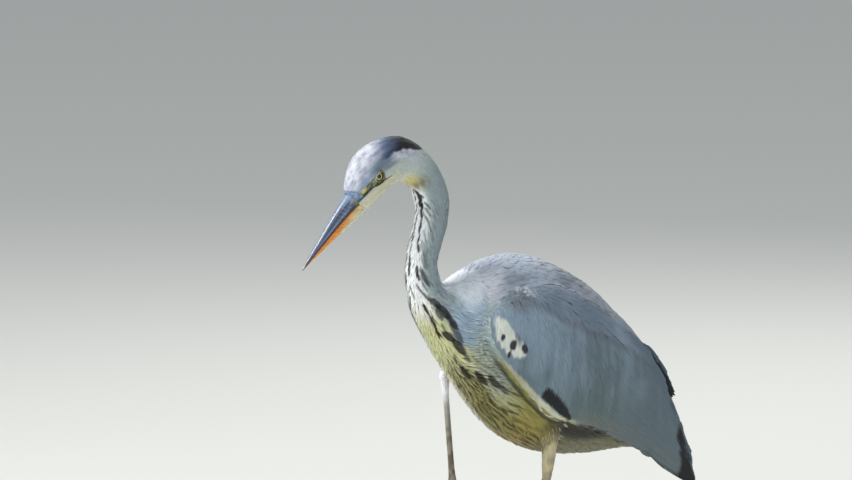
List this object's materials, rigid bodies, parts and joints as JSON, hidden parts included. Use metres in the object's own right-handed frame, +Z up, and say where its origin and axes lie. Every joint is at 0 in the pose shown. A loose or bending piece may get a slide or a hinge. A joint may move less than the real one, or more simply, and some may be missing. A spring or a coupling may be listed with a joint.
{
  "type": "grey heron",
  "caption": "Life-size still model of a young grey heron, stalking on one leg with the other raised, its neck curved and its bill pointing down and forward.",
  "frame": {"origin": "on the floor, under the centre of the bird's bounding box", "axes": "+Z up; the bird heads towards -X; its left side is towards -Y"},
  "size_m": [0.6428, 0.1538, 0.6822],
  "materials": {
    "plumage_pale": "matte",
    "plumage_grey": "matte",
    "plumage_wing": "matte",
    "plumage_buff": "matte",
    "leg_grey": "matte",
    "bill_slate": "satin",
    "bill_orange": "satin",
    "eye_yellow": "gloss",
    "claw_horn": "satin"
  },
  "bodies": {
    "root": {"bill_lower": "bill_orange", "bill_upper": "bill_slate", "claw_hind_left": "claw_horn", "claw_hind_right": "claw_horn", "claw_inner_left": "claw_horn", "claw_inner_right": "claw_horn", "claw_middle_left": "claw_horn", "claw_middle_right": "claw_horn", "claw_outer_left": "claw_horn", "claw_outer_right": "claw_horn", "eye_left": "eye_yellow", "eye_right": "eye_yellow", "head": "plumage_pale", "neck_lower": "plumage_pale", "neck_middle": "plumage_pale", "neck_upper": "plumage_pale", "tail": "plumage_grey", "tarsus_left": "leg_grey", "tarsus_right": "leg_grey", "thigh_left": "plumage_buff", "thigh_right": "plumage_buff", "tibia_left": "leg_grey", "tibia_right": "leg_grey", "toe_hind_left": "leg_grey", "toe_hind_right": "leg_grey", "toe_inner_left": "leg_grey", "toe_inner_right": "leg_grey", "toe_middle_left": "leg_grey", "toe_middle_right": "leg_grey", "toe_outer_left": "leg_grey", "toe_outer_right": "leg_grey", "trunk": "plumage_grey", "wing_left": "plumage_wing", "wing_right": "plumage_wing"}
  },
  "joints": []
}
